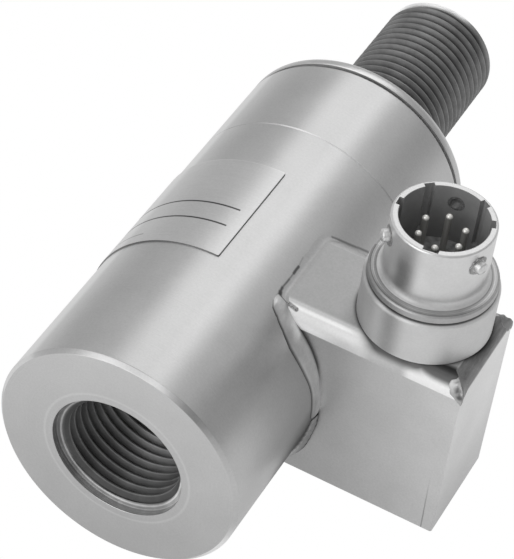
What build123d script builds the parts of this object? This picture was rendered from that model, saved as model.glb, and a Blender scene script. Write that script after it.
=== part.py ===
from build123d import *
import math
import os

# The load axis runs along Y. The female end face lies in the plane Y = 0, the stud points to +Y,
# the electronics housing stands out towards +X and its connector towards +Z.

# body and spring element
body_diameter = 38.1
body_chamfer = 0.6
head_length = 21.0
seam_distance = 55.1
groove_distance = 70.85
groove_width = 0.75
seam_chamfer = 0.15
sleeve_thickness = 2.55
sleeve_spigot_length = 4.0
barrel_diameter = 28.0
column_width = 12.0
column_length = 24.0
column_corner_radius = 1.5
column_root_radius = 2.0
boss_diameter = 26.0

# female thread, at its tap-drill size, with a smooth recess at the mouth
thread_major_diameter = 19.05
tap_drill_diameter = 17.46
recess_diameter = 20.6
recess_depth = 1.2
tapped_length = 26.0
drill_tip_angle = 118.0
bore_floor_thickness = 1.55

# male stud, plain at its major diameter
flange_thickness = 2.4
flange_edge_radius = 1.9
flange_spigot_diameter = 23.0
stud_length = 31.9
undercut_diameter = 16.6
undercut_length = 1.8
stud_tip_chamfer = 1.1

# joint between the two sleeves and the seal in the groove
lap_length = 3.0
lap_step = 1.15
seal_setback = 0.55

# nameplate, angles measured about the load axis from +X towards +Z
plate_start = 25.1
plate_width = 20.2
plate_thickness = 0.2
plate_first_angle = 88.5
plate_arc = 120.0
plate_corner_radius = 0.3

# electronics housing, its front wall set back from the start of the gauge column
housing_setback = 9.3
housing_depth = 17.0
housing_top_drop = 3.2
sheet_thickness = 1.2
bend_radius = 2.6
upright_edge_radius = 0.35
corner_weld_radius = 1.3
corner_weld_stand = 0.15
bead_leg_on_body = 2.4
bead_leg_on_wall = 1.1
bead_bulge = 0.25
bead_leg_on_top = 0.5

# connector, its axis parallel to Z at a distance from the body's surface
connector_distance = 9.65
housing_end_space = 10.7
collar_front_space = 0.05
collar_wall = 2.6
collar_height = 7.35
collar_floor = 1.2
collar_edge_radius = 0.6
wire_hole_diameter = 10.6
gasket_thickness = 0.35
gasket_inset = 0.3
connector_flange_overhang = 1.825
connector_flange_thickness = 1.1
barrel_outer_diameter = 14.75
barrel_wall = 1.015
barrel_height = 9.85
barrel_root_radius = 1.2
rear_wall = 0.64
keyway_depth = 0.6
keyway_width = 1.5
main_keyway_width = 2.2
keyway_length = 8.0
main_keyway_angle = -81.4
minor_keyway_turns = (105.0, 140.0, 215.0, 265.0)
bayonet_pin_diameter = 2.4
bayonet_pin_stand = 1.05
bayonet_pin_drop = 2.8
bayonet_dimple_diameter = 1.7
bayonet_first_angle = -23.0
bayonet_count = 3
insert_depth = 9.7
insert_ring_height = 0.95
insert_ring_bore = 10.0
insert_boss_diameter = 2.0
insert_boss_height = 0.3
contact_count = 6
contact_circle_diameter = 6.64
contact_first_angle = 37.8
contact_diameter = 1.0
contact_drop = 2.2
cup_diameter = 1.7
cup_length = 7.0
cup_insertion = 3.1
cup_bore_diameter = 1.0
cup_bore_depth = 2.0

# gauges, terminal ring and wiring
gauge_length = 8.0
gauge_width = 5.0
gauge_thickness = 0.15
tab_length = 2.0
tab_width = 4.0
tab_thickness = 0.3
tab_space = 0.8
ring_inner_diameter = 20.4
ring_outer_diameter = 27.4
ring_thickness = 0.8
lead_diameter = 0.4
lead_spacing = 2.4
lead_lift = 0.25
harness_diameter = 1.6
harness_lead = 0.4
harness_height = 3.6
harness_inner_radius = 1.2
harness_outer_radius = 3.0
bushing_diameter = 4.0
bushing_head_diameter = 5.2
bushing_head_thickness = 0.9
bushing_stand = 0.6

# circuit board in the housing, its lower edge a distance below the load axis
board_width = 15.5
board_height = 18.0
board_drop = 13.15
board_thickness = 1.6
board_edge_space = 1.0
board_floor_space = 1.0
standoff_length = 2.0
standoff_diameter = 3.5
standoff_inset = 2.0
screw_diameter = 1.6
screw_length = 3.2
screw_head_diameter = 2.8
screw_head_height = 1.0
resistor_count = 4
resistor_length = 3.2
resistor_width = 1.6
resistor_height = 0.6
resistor_pitch = 2.2
wire_diameter = 0.8
wire_bend_radius = 0.85
wire_step = 1.25

# clearances
slide_clearance = 0.03
collar_clearance = 0.05
weld_clearance = 0.02

# how far a cutting or joining solid runs past the surface it works on
margin = 1.0

# how near two coordinates must be to count as the same when edges are picked
tolerance = 0.001

# sizes worked out from the ones above
body_radius = body_diameter / 2
cavity_radius = body_radius - sleeve_thickness
lap_radius = cavity_radius + lap_step
bore_end = recess_depth + tapped_length
bore_tip = bore_end + tap_drill_diameter / 2 / math.tan(math.radians(drill_tip_angle / 2))
column_start = bore_tip + bore_floor_thickness
column_end = column_start + column_length
flange_start = groove_distance + groove_width
flange_end = flange_start + flange_thickness
stud_tip = flange_end + stud_length
housing_front = column_start - housing_setback
housing_top = body_radius - housing_top_drop
barrel_inner_diameter = barrel_outer_diameter - 2 * barrel_wall
rear_diameter = barrel_inner_diameter + 2 * rear_wall
collar_bore_diameter = rear_diameter + 2 * collar_clearance
collar_diameter = collar_bore_diameter + 2 * collar_wall
connector_flange_diameter = barrel_outer_diameter + 2 * connector_flange_overhang
gasket_diameter = connector_flange_diameter - 2 * gasket_inset
connector_reach = body_radius + connector_distance
connector_offset = housing_front + collar_front_space + collar_diameter / 2
housing_reach = connector_reach + housing_end_space
housing_back = housing_front + housing_depth
board_bottom = -board_drop
housing_bottom_z = board_bottom - board_floor_space - sheet_thickness
collar_top = housing_top + collar_height
gasket_top = collar_top + gasket_thickness
flange_top = gasket_top + connector_flange_thickness
rim_height = flange_top + barrel_height
insert_face = rim_height - insert_depth
rear_floor = housing_top + collar_floor + slide_clearance
cup_top = rear_floor + cup_insertion
tip_height = rim_height - contact_drop
board_back = housing_front + sheet_thickness + standoff_length + board_thickness
board_right = housing_reach - sheet_thickness - board_edge_space
ring_face = column_start + ring_thickness
harness_start = (ring_outer_diameter - harness_diameter) / 2 - slide_clearance
harness_level = column_start + harness_height
harness_end = body_radius + bushing_head_thickness + harness_lead + harness_outer_radius


def turned(points):
    """Solid of revolution about the load axis, from (radius, distance) points."""
    return revolve(make_face(Polyline(*points, close=True)), Axis.Y)


def turned_upright(points):
    """Solid of revolution about the connector's axis, from (radius, height) points."""
    profile = make_face(Polyline(*points, close=True))
    upright = Plane((connector_reach, connector_offset, 0), x_dir=(1, 0, 0), z_dir=(0, -1, 0))
    return revolve(upright * profile, Axis((connector_reach, connector_offset, 0), (0, 0, 1)))


def rod_along_y(radius, start, end, x=0.0, z=0.0):
    length = end - start
    return Pos(x, start + length / 2, z) * Rot(90, 0, 0) * Cylinder(radius, length)


def rod_along_x(radius, start, end, y, z):
    length = end - start
    return Pos(start + length / 2, y, z) * Rot(0, 90, 0) * Cylinder(radius, length)


def rod_along_z(radius, start, end, x, y):
    length = end - start
    return Pos(x, y, start + length / 2) * Cylinder(radius, length)


def block(x_range, y_range, z_range):
    size = [high - low for low, high in (x_range, y_range, z_range)]
    middle = [(high + low) / 2 for low, high in (x_range, y_range, z_range)]
    return Pos(*middle) * Box(*size)


def edges_on(shape, **planes):
    """Edges whose centre lies on every named coordinate, such as X=3, Z=5."""
    picked = []
    for edge in shape.edges():
        centre = edge.center()
        if all(abs(getattr(centre, name) - value) < tolerance for name, value in planes.items()):
            picked.append(edge)
    return picked


def circle_edges(shape, radius, distance):
    """Full circles of one radius that lie at one distance along the load axis."""
    circles = shape.edges().filter_by(GeomType.CIRCLE)
    return [
        edge
        for edge in circles
        if abs(edge.radius - radius) < tolerance and abs(edge.arc_center.Y - distance) < tolerance
    ]


def circle_edges_upright(shape, radius, height):
    """Full circles of one radius at one height on the connector."""
    circles = shape.edges().filter_by(GeomType.CIRCLE)
    return [
        edge
        for edge in circles
        if abs(edge.radius - radius) < tolerance and abs(edge.arc_center.Z - height) < tolerance
    ]


def on_connector(angle, radius):
    """Point on a circle round the connector's axis, angle in degrees from +X."""
    turn = math.radians(angle)
    return (connector_reach + radius * math.cos(turn), connector_offset + radius * math.sin(turn))


def body_cylinder(extra=0.0):
    """The space the round body fills beside the housing."""
    return rod_along_y(body_radius + extra, 0, groove_distance)


def spring_element():
    """One turned piece: female end, barrel, square gauge column, boss, flange seat and stud."""
    tap_radius = tap_drill_diameter / 2
    thread_radius = thread_major_diameter / 2
    recess_radius = recess_diameter / 2
    countersink_start = recess_depth
    countersink_end = recess_depth + thread_radius - tap_radius
    barrel_radius = barrel_diameter / 2
    spigot_radius = cavity_radius - slide_clearance
    spigot_end = head_length + sleeve_spigot_length
    female_end = turned(
        [
            (0, bore_tip),
            (tap_radius, bore_end),
            (tap_radius, countersink_end),
            (thread_radius, countersink_start),
            (recess_radius, countersink_start),
            (recess_radius, 0),
            (body_radius - body_chamfer, 0),
            (body_radius, body_chamfer),
            (body_radius, head_length),
            (spigot_radius, head_length),
            (spigot_radius, spigot_end),
            (barrel_radius, spigot_end),
            (barrel_radius, column_start),
            (0, column_start),
        ]
    )
    boss_radius = boss_diameter / 2
    seat_radius = flange_spigot_diameter / 2
    undercut_radius = undercut_diameter / 2
    undercut_end = flange_end + undercut_length
    male_end = turned(
        [
            (0, column_end),
            (boss_radius, column_end),
            (boss_radius, flange_start),
            (seat_radius, flange_start),
            (seat_radius, flange_end),
            (undercut_radius, flange_end),
            (undercut_radius, undercut_end),
            (thread_radius, undercut_end + thread_radius - undercut_radius),
            (thread_radius, stud_tip - stud_tip_chamfer),
            (thread_radius - stud_tip_chamfer, stud_tip),
            (0, stud_tip),
        ]
    )
    half = column_width / 2
    column = block((-half, half), (column_start, column_end), (-half, half))
    column = fillet(column.edges().filter_by(Axis.Y), column_corner_radius)
    element = female_end + column + male_end
    roots = []
    for edge in element.edges():
        centre = edge.center()
        reach = math.hypot(centre.X, centre.Z)
        at_root = min(abs(centre.Y - column_start), abs(centre.Y - column_end)) < tolerance
        if at_root and half - tolerance < reach < half * math.sqrt(2):
            roots.append(edge)
    return fillet(roots, column_root_radius)


def main_sleeve():
    """Tube over the gauge section, with a lap recess at the seam and a hole for the leads."""
    tube = turned(
        [
            (cavity_radius, head_length),
            (body_radius, head_length),
            (body_radius, seam_distance - seam_chamfer),
            (body_radius - seam_chamfer, seam_distance),
            (lap_radius, seam_distance),
            (lap_radius, seam_distance - lap_length),
            (cavity_radius, seam_distance - lap_length),
        ]
    )
    hole_radius = bushing_diameter / 2 + slide_clearance
    return tube - rod_along_x(hole_radius, 0, body_diameter, harness_level, 0)


def end_sleeve():
    """Short tube between the seam and the groove, with a spigot in the main sleeve's recess."""
    spigot_radius = lap_radius - slide_clearance
    return turned(
        [
            (cavity_radius, seam_distance - lap_length + slide_clearance),
            (spigot_radius, seam_distance - lap_length + slide_clearance),
            (spigot_radius, seam_distance),
            (body_radius - seam_chamfer, seam_distance),
            (body_radius, seam_distance + seam_chamfer),
            (body_radius, groove_distance - seam_chamfer),
            (body_radius - seam_chamfer, groove_distance),
            (cavity_radius, groove_distance),
        ]
    )


def gap_seal():
    """Soft ring in the groove, between the sleeve's end and the flange."""
    boss_radius = boss_diameter / 2 + slide_clearance
    outer_radius = body_radius - seal_setback
    edge_radius = groove_width / 3
    ring = turned(
        [
            (boss_radius, groove_distance),
            (outer_radius, groove_distance),
            (outer_radius, flange_start),
            (boss_radius, flange_start),
        ]
    )
    rims = circle_edges(ring, outer_radius, groove_distance)
    rims += circle_edges(ring, outer_radius, flange_start)
    return fillet(rims, edge_radius)


def end_flange():
    """Ring with a rounded rear edge, seated on the element beside the stud."""
    inner_radius = flange_spigot_diameter / 2 + slide_clearance
    ring = turned(
        [
            (inner_radius, flange_start),
            (body_radius - seam_chamfer, flange_start),
            (body_radius, flange_start + seam_chamfer),
            (body_radius, flange_end),
            (inner_radius, flange_end),
        ]
    )
    return fillet(circle_edges(ring, body_radius, flange_end), flange_edge_radius)


def nameplate():
    """Thin rectangular band wrapped on the body, with rounded corners."""
    outer_radius = body_radius + plate_thickness
    section = make_face(
        Polyline(
            (body_radius, plate_start),
            (outer_radius, plate_start),
            (outer_radius, plate_start + plate_width),
            (body_radius, plate_start + plate_width),
            close=True,
        )
    )
    band = revolve(section, Axis((0, 0, 0), (0, -1, 0)), revolution_arc=plate_arc)
    middle = body_radius + plate_thickness / 2
    corners = []
    for edge in band.edges().filter_by(GeomType.LINE):
        centre = edge.center()
        if abs(math.hypot(centre.X, centre.Z) - middle) < tolerance:
            corners.append(edge)
    band = fillet(corners, plate_corner_radius)
    return Rot(0, -plate_first_angle, 0) * band


def corner_centres():
    """Centres of the weld nuggets, just inside the two corners where the top's bends meet."""
    inset = corner_weld_radius - corner_weld_stand
    drop = inset + bend_radius * (1 - math.sqrt(0.5)) - corner_weld_stand
    return [
        (housing_reach - inset, housing_front + inset, housing_top - drop),
        (housing_reach - inset, housing_back - inset, housing_top - drop),
    ]


def nugget(centre, radius):
    """Ball turned so that its seam and its poles lie clear of the housing's walls."""
    return Pos(*centre) * Rot(30, 50, 20) * Sphere(radius)


def folded_block(inset, bend, upright_edge, floor):
    """The housing's outline, moved inwards by inset, with a bend along each edge of its top."""
    top = housing_top - inset
    end = housing_reach - inset
    sides = (housing_front + inset, housing_back - inset)
    side_bends = block((0, end), sides, (floor, top))
    edges = edges_on(side_bends, Y=sides[0], Z=top) + edges_on(side_bends, Y=sides[1], Z=top)
    side_bends = fillet(edges, bend)
    end_bend = block((0, end), (housing_front - margin, housing_back + margin), (floor, top))
    end_bend = fillet(edges_on(end_bend, X=end, Z=top), bend)
    solid = side_bends & end_bend
    if upright_edge > 0:
        uprights = block((0, end), sides, (floor, top))
        edges = edges_on(uprights, X=end, Y=sides[0]) + edges_on(uprights, X=end, Y=sides[1])
        solid = solid & fillet(edges, upright_edge)
    return solid


def housing_shell():
    """One folded sheet: top, front, back and end walls, open below and saddled on the body."""
    outer = folded_block(0, bend_radius, upright_edge_radius, housing_bottom_z)
    inner_floor = housing_bottom_z - sheet_thickness
    inner = folded_block(sheet_thickness, bend_radius - sheet_thickness, 0, inner_floor)
    shell = outer - inner - body_cylinder(weld_clearance)
    shell -= rod_along_z(
        wire_hole_diameter / 2, 0, housing_top + margin, connector_reach, connector_offset
    )
    for centre in corner_centres():
        shell -= nugget(centre, corner_weld_radius + weld_clearance)
    return shell


def corner_welds():
    """Rounded weld nuggets that close the two top corners of the folded sheet."""
    return [nugget(centre, corner_weld_radius) for centre in corner_centres()]


def housing_bottom():
    """Flat plate let in between the housing's walls."""
    inset = sheet_thickness + weld_clearance
    end = housing_reach - inset
    plate = block(
        (0, end),
        (housing_front + inset, housing_back - inset),
        (housing_bottom_z, housing_bottom_z + sheet_thickness),
    )
    return plate - body_cylinder(weld_clearance)


def side_bead(wall, outward):
    """Fillet bead between one side wall and the body; outward is -1 in front and 1 behind."""
    toe_on_body = wall + outward * bead_leg_on_body
    toe_on_wall = body_radius + bead_leg_on_wall
    middle = (
        body_radius + bead_leg_on_wall / 2 + bead_bulge,
        wall + outward * (bead_leg_on_body / 2 + bead_bulge),
    )
    outline = [
        Line((body_radius, wall), (toe_on_wall, wall)),
        ThreePointArc((toe_on_wall, wall), middle, (body_radius, toe_on_body)),
        Line((body_radius, toe_on_body), (body_radius, wall)),
    ]
    low = math.degrees(math.asin(housing_bottom_z / body_radius))
    high = math.degrees(math.asin((housing_top - bend_radius) / body_radius))
    bead = revolve(make_face(outline), Axis((0, 0, 0), (0, -1, 0)), revolution_arc=high - low)
    return Rot(0, -low, 0) * bead


def weld_front():
    return side_bead(housing_front - weld_clearance, -1)


def weld_back():
    return side_bead(housing_back + weld_clearance, 1)


def level_bead(level, outward):
    """Shallow bead along the body where the top or the bottom of the housing meets it."""
    start = math.asin(level / body_radius)
    drop = outward * bead_leg_on_top / body_radius
    edge = body_radius * math.cos(start)
    face = level + outward * weld_clearance
    outline = Plane.XZ * make_face(
        Polyline(
            (edge - bead_leg_on_top, face),
            (edge + bead_leg_on_top, face),
            (body_radius * math.cos(start + drop), body_radius * math.sin(start + drop)),
            close=True,
        )
    )
    length = housing_depth - 2 * bend_radius
    bead = Pos(0, housing_back - bend_radius, 0) * extrude(outline, length)
    return bead - body_cylinder(weld_clearance)


def weld_top():
    return level_bead(housing_top, 1)


def weld_bottom():
    return level_bead(housing_bottom_z, -1)


def connector_collar():
    """Round cup on the housing's top that the connector is set into."""
    outer = collar_diameter / 2
    bore = collar_bore_diameter / 2
    hole = wire_hole_diameter / 2
    floor = housing_top + collar_floor
    collar = turned_upright(
        [
            (hole, housing_top),
            (outer, housing_top),
            (outer, collar_top),
            (bore, collar_top),
            (bore, floor),
            (hole, floor),
        ]
    )
    return fillet(circle_edges_upright(collar, outer, collar_top), collar_edge_radius)


def receptacle_gasket():
    """Flat ring under the connector's flange."""
    outer = gasket_diameter / 2
    inner = rear_diameter / 2 + slide_clearance
    return turned_upright(
        [(inner, collar_top), (outer, collar_top), (outer, gasket_top), (inner, gasket_top)]
    )


def radial_rod(radius, inner, outer, angle, height):
    """Round rod that points outwards from the connector's axis."""
    length = outer - inner
    place = Pos(connector_reach, connector_offset, height) * Rot(0, 0, angle)
    return place * Pos(inner + length / 2, 0, 0) * Rot(0, 90, 0) * Cylinder(radius, length)


def bayonet_angles():
    return [bayonet_first_angle + turn * 360 / bayonet_count for turn in range(bayonet_count)]


def receptacle_shell():
    """Barrel with a flange, a rear skirt in the collar, five keyways and three pin holes."""
    inner = barrel_inner_diameter / 2
    outer = barrel_outer_diameter / 2
    flange = connector_flange_diameter / 2
    rear = rear_diameter / 2
    shell = turned_upright(
        [
            (inner, rear_floor),
            (rear, rear_floor),
            (rear, gasket_top),
            (flange, gasket_top),
            (flange, flange_top),
            (outer, flange_top),
            (outer, rim_height),
            (inner, rim_height),
        ]
    )
    shell = fillet(circle_edges_upright(shell, outer, flange_top), barrel_root_radius)
    shell = fillet(circle_edges_upright(shell, flange, flange_top), connector_flange_thickness / 3)
    shell = fillet(circle_edges_upright(shell, outer, rim_height), (outer - inner) / 3)
    keyways = [(main_keyway_angle, main_keyway_width)]
    for turn in minor_keyway_turns:
        keyways.append((main_keyway_angle + turn, keyway_width))
    for angle, width in keyways:
        slot = block(
            (0, inner + keyway_depth),
            (-width / 2, width / 2),
            (rim_height - keyway_length, rim_height + margin),
        )
        shell -= Pos(connector_reach, connector_offset, 0) * Rot(0, 0, angle) * slot
    pin_height = rim_height - bayonet_pin_drop
    hole_radius = bayonet_pin_diameter / 2 + slide_clearance
    for angle in bayonet_angles():
        shell -= radial_rod(hole_radius, 0, outer + margin, angle, pin_height)
    return shell


def bayonet_pins():
    """Short pins riveted through the barrel, dimpled on the inside."""
    inner = barrel_inner_diameter / 2
    outer = barrel_outer_diameter / 2 + bayonet_pin_stand
    pin_radius = bayonet_pin_diameter / 2
    pin_height = rim_height - bayonet_pin_drop
    dimple_radius = bayonet_dimple_diameter / 2
    inside = rod_along_z(inner, housing_top, rim_height, connector_reach, connector_offset)
    pins = []
    for angle in bayonet_angles():
        x, y = on_connector(angle, inner)
        pin = radial_rod(pin_radius, inner / 2, outer, angle, pin_height)
        tip = on_connector(angle, outer)
        rims = []
        for edge in pin.edges().filter_by(GeomType.CIRCLE):
            centre = edge.arc_center
            if math.dist((centre.X, centre.Y), tip) < tolerance:
                rims.append(edge)
        pin = fillet(rims, pin_radius / 4) - inside
        pins.append(pin - Pos(x, y, pin_height) * Sphere(dimple_radius))
    return pins


def contact_places():
    places = []
    for turn in range(contact_count):
        angle = contact_first_angle + turn * 360 / contact_count
        places.append(on_connector(angle, contact_circle_diameter / 2))
    return places


def contact_insert():
    """Round insert with a hole for each contact and a raised collar round each pin."""
    radius = barrel_inner_diameter / 2 - slide_clearance
    floor = rear_floor + insert_ring_height
    insert = rod_along_z(radius, floor, insert_face, connector_reach, connector_offset)
    boss_radius = insert_boss_diameter / 2
    boss_top = insert_face + insert_boss_height
    for x, y in contact_places():
        insert += rod_along_z(boss_radius, insert_face - margin, boss_top, x, y)
    for x, y in contact_places():
        pin_hole = contact_diameter / 2 + slide_clearance
        cup_hole = cup_diameter / 2 + slide_clearance
        insert -= rod_along_z(pin_hole, floor - margin, boss_top + margin, x, y)
        insert -= rod_along_z(cup_hole, floor - margin, cup_top, x, y)
    return insert


def insert_ring():
    """Ring that keeps the insert in the barrel."""
    outer = barrel_inner_diameter / 2 - slide_clearance
    inner = insert_ring_bore / 2
    top = rear_floor + insert_ring_height
    return turned_upright(
        [(inner, rear_floor), (outer, rear_floor), (outer, top), (inner, top)]
    )


def contact_pins():
    """Six contacts: a round-ended pin above and a solder cup below."""
    pins = []
    pin_radius = contact_diameter / 2
    cup_bottom = cup_top - cup_length
    for x, y in contact_places():
        pin = rod_along_z(pin_radius, cup_top - margin, tip_height - pin_radius, x, y)
        pin += Pos(x, y, tip_height - pin_radius) * Sphere(pin_radius)
        pin += rod_along_z(cup_diameter / 2, cup_bottom, cup_top, x, y)
        pin -= rod_along_z(
            cup_bore_diameter / 2, cup_bottom - margin, cup_bottom + cup_bore_depth, x, y
        )
        pins.append(pin)
    return pins


def round_the_column(make):
    """The same piece on each of the column's four flats."""
    return [Rot(0, turn * 90, 0) * make() for turn in range(4)]


def gauge():
    middle = (column_start + column_end) / 2
    face = column_width / 2
    return block(
        (face, face + gauge_thickness),
        (middle - gauge_length / 2, middle + gauge_length / 2),
        (-gauge_width / 2, gauge_width / 2),
    )


def tab_end():
    return (column_start + column_end) / 2 - gauge_length / 2 - tab_space


def tab():
    face = column_width / 2
    return block(
        (face, face + tab_thickness),
        (tab_end() - tab_length, tab_end()),
        (-tab_width / 2, tab_width / 2),
    )


def strain_gauges():
    return round_the_column(gauge)


def gauge_tabs():
    return round_the_column(tab)


def terminal_ring():
    """Thin ring board that the gauge leads run to, flat on the barrel's end."""
    return turned(
        [
            (ring_inner_diameter / 2, column_start),
            (ring_outer_diameter / 2, column_start),
            (ring_outer_diameter / 2, ring_face),
            (ring_inner_diameter / 2, ring_face),
        ]
    )


def gauge_leads():
    """Two straight leads from each tab down to the terminal ring."""
    leads = []
    first = (column_width / 2 + tab_thickness + lead_lift, tab_end() - tab_length / 2)
    last = (ring_inner_diameter / 2 + lead_diameter, ring_face + lead_lift)
    for face in range(4):
        for side in (-1, 1):
            z = side * lead_spacing / 2
            line = Line((first[0], first[1], z), (last[0], last[1], z))
            section = Plane(line @ 0, z_dir=line % 0) * Circle(lead_diameter / 2)
            leads.append(Rot(0, face * 90, 0) * sweep(section, line))
    return leads


def lead_bushing():
    """Insulating bush through the sleeve's wall, with its head inside the housing."""
    body = rod_along_x(
        bushing_diameter / 2, cavity_radius - bushing_stand, body_radius, harness_level, 0
    )
    head_end = body_radius + bushing_head_thickness
    head = rod_along_x(bushing_head_diameter / 2, body_radius, head_end, harness_level, 0)
    bore_radius = harness_diameter / 2 + slide_clearance
    return body + head - rod_along_x(bore_radius, 0, head_end + margin, harness_level, 0)


def bridge_harness():
    """Lead bundle from the terminal ring, through the bush, to the circuit board."""
    path = FilletPolyline(
        (harness_start, ring_face, 0),
        (harness_start, harness_level, 0),
        (harness_end, harness_level, 0),
        (harness_end, board_back, 0),
        radius=[harness_inner_radius, harness_outer_radius],
    )
    section = Plane(path @ 0, z_dir=path % 0) * Circle(harness_diameter / 2)
    return sweep(section, path)


def circuit_board():
    board = block(
        (board_right - board_width, board_right),
        (board_back - board_thickness, board_back),
        (board_bottom, board_bottom + board_height),
    )
    hole_radius = screw_diameter / 2 + slide_clearance
    for x, z in screw_places():
        board -= rod_along_y(hole_radius, housing_front, board_back + margin, x, z)
    return board


def screw_places():
    places = []
    for x in (board_right - board_width + standoff_inset, board_right - standoff_inset):
        for z in (board_bottom + standoff_inset, board_bottom + board_height - standoff_inset):
            places.append((x, z))
    return places


def board_standoffs():
    """Posts on the front wall, each with a hole for its screw."""
    wall = housing_front + sheet_thickness
    posts = []
    for x, z in screw_places():
        post = rod_along_y(standoff_diameter / 2, wall, wall + standoff_length, x, z)
        hole = rod_along_y(
            screw_diameter / 2 + slide_clearance, wall, wall + standoff_length, x, z
        )
        posts.append(post - hole)
    return posts


def board_screws():
    screws = []
    for x, z in screw_places():
        shank = rod_along_y(screw_diameter / 2, board_back - screw_length, board_back, x, z)
        head_end = board_back + screw_head_height
        head = rod_along_y(screw_head_diameter / 2, board_back, head_end, x, z)
        head = fillet(circle_edges(head, screw_head_diameter / 2, head_end), screw_head_height / 3)
        screws.append(shank + head)
    return screws


def trim_resistors():
    """Small resistor blocks in a row on the board's back."""
    blocks = []
    x = board_right - board_width / 2
    for number in range(resistor_count):
        z = board_bottom + resistor_pitch * (number + 1)
        blocks.append(
            block(
                (x - resistor_length / 2, x + resistor_length / 2),
                (board_back, board_back + resistor_height),
                (z - resistor_width / 2, z + resistor_width / 2),
            )
        )
    return blocks


def connector_wires():
    """One wire from each solder cup, down and across to the board's back, none crossing."""
    wires = []
    start = cup_top - cup_length + cup_bore_depth
    board_top = board_bottom + board_height
    nearest_first = sorted(contact_places(), key=lambda place: place[1])
    for number, (x, y) in enumerate(nearest_first):
        level = board_top - wire_diameter - number * wire_step
        corners = ((x, y, start), (x, y, level), (x, board_back, level))
        path = FilletPolyline(*corners, radius=wire_bend_radius)
        section = Plane(path @ 0, z_dir=path % 0) * Circle(wire_diameter / 2)
        wires.append(sweep(section, path))
    return wires


pieces = {
    "spring_element": spring_element,
    "main_sleeve": main_sleeve,
    "end_sleeve": end_sleeve,
    "gap_seal": gap_seal,
    "end_flange": end_flange,
    "nameplate": nameplate,
    "housing_shell": housing_shell,
    "housing_bottom": housing_bottom,
    "corner_welds": corner_welds,
    "weld_front": weld_front,
    "weld_back": weld_back,
    "weld_top": weld_top,
    "weld_bottom": weld_bottom,
    "connector_collar": connector_collar,
    "receptacle_gasket": receptacle_gasket,
    "receptacle_shell": receptacle_shell,
    "bayonet_pins": bayonet_pins,
    "contact_insert": contact_insert,
    "insert_ring": insert_ring,
    "contact_pins": contact_pins,
    "strain_gauges": strain_gauges,
    "gauge_tabs": gauge_tabs,
    "terminal_ring": terminal_ring,
    "gauge_leads": gauge_leads,
    "lead_bushing": lead_bushing,
    "bridge_harness": bridge_harness,
    "circuit_board": circuit_board,
    "board_standoffs": board_standoffs,
    "board_screws": board_screws,
    "trim_resistors": trim_resistors,
    "connector_wires": connector_wires,
}

os.makedirs("parts", exist_ok=True)
for name, make in pieces.items():
    shape = make()
    if isinstance(shape, list):
        shape = Compound(children=shape)
    export_step(shape, f"parts/{name}.step")
    print(name, "written")
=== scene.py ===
import math
from types import SimpleNamespace

import bmesh
import bpy
from mathutils import Matrix, Vector, noise
from mathutils.kdtree import KDTree


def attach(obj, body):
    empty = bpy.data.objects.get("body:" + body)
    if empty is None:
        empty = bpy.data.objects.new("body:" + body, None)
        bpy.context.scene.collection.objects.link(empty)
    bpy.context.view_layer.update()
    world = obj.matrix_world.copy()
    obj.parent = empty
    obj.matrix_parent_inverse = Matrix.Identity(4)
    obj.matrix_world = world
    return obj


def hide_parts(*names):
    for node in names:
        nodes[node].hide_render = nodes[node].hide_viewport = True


# In-line load cell. The load axis is Y, the housing stands out to +X, the connector points to +Z.
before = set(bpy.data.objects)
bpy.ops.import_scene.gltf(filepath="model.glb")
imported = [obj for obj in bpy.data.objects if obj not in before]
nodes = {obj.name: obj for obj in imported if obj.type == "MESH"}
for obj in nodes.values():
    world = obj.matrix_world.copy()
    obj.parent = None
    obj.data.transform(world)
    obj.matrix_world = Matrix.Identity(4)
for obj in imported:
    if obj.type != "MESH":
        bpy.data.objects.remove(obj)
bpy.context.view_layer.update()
mm = 0.001
mergeDistance = 0.0005 * mm
print("frame loaded")


# helpers for shapes

def smoothStep(value, low, high):
    t = min(1.0, max(0.0, (value - low) / (high - low)))
    return t * t * (3 - 2 * t)


def blendRows(rows, x):
    # straight-line lookup in a few rows that each start with their x
    for low, high in zip(rows, rows[1:]):
        if x <= high[0]:
            break
    t = min(1.0, max(0.0, (x - low[0]) / (high[0] - low[0])))
    return [a + (b - a) * t for a, b in zip(low[1:], high[1:])]


def roundedLine(corners, steps=5):
    # corners are (radius, along, rounding); each rounding becomes an arc
    line = []
    last = len(corners) - 1
    for i, (r, a, rounding) in enumerate(corners):
        here = Vector((r, a))
        if rounding == 0 or i in (0, last):
            line.append((r, a))
            continue
        back = (Vector(corners[i - 1][:2]) - here).normalized()
        ahead = (Vector(corners[i + 1][:2]) - here).normalized()
        half = back.angle(ahead) / 2
        reach = rounding / math.tan(half)
        start, end = here + back * reach, here + ahead * reach
        centre = here + (back + ahead).normalized() * rounding / math.sin(half)
        fromAngle = math.atan2(*(start - centre).yx)
        turn = math.atan2(*(end - centre).yx) - fromAngle
        turn = (turn + math.pi) % (2 * math.pi) - math.pi
        for k in range(steps + 1):
            angle = fromAngle + turn * k / steps
            line.append((centre.x + rounding * math.cos(angle), centre.y + rounding * math.sin(angle)))
    return line


def bodyPoint(r, along, angle):
    return (r * math.cos(angle) * mm, along * mm, r * math.sin(angle) * mm)


def ringRows(line, count, place=bodyPoint):
    # one row of points for each (radius, along) pair; a radius may be a function of the angle
    rows = []
    for r, along in line:
        row = []
        for i in range(count):
            angle = 2 * math.pi * i / count
            row.append(place(r(angle) if callable(r) else r, along, angle))
        rows.append(row)
    return rows


def skinRows(rows, capped=False):
    # quads between neighbouring closed rows, with a flat face at each end where it is capped
    count = len(rows[0])
    verts = [p for row in rows for p in row]
    faces = []
    for start in range(0, len(verts) - count, count):
        for i in range(count):
            j = (i + 1) % count
            faces.append((start + i, start + j, start + count + j, start + count + i))
    if capped:
        faces.append(tuple(range(count)))
        faces.append(tuple(range(len(verts) - count, len(verts))))
    return verts, faces


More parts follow.
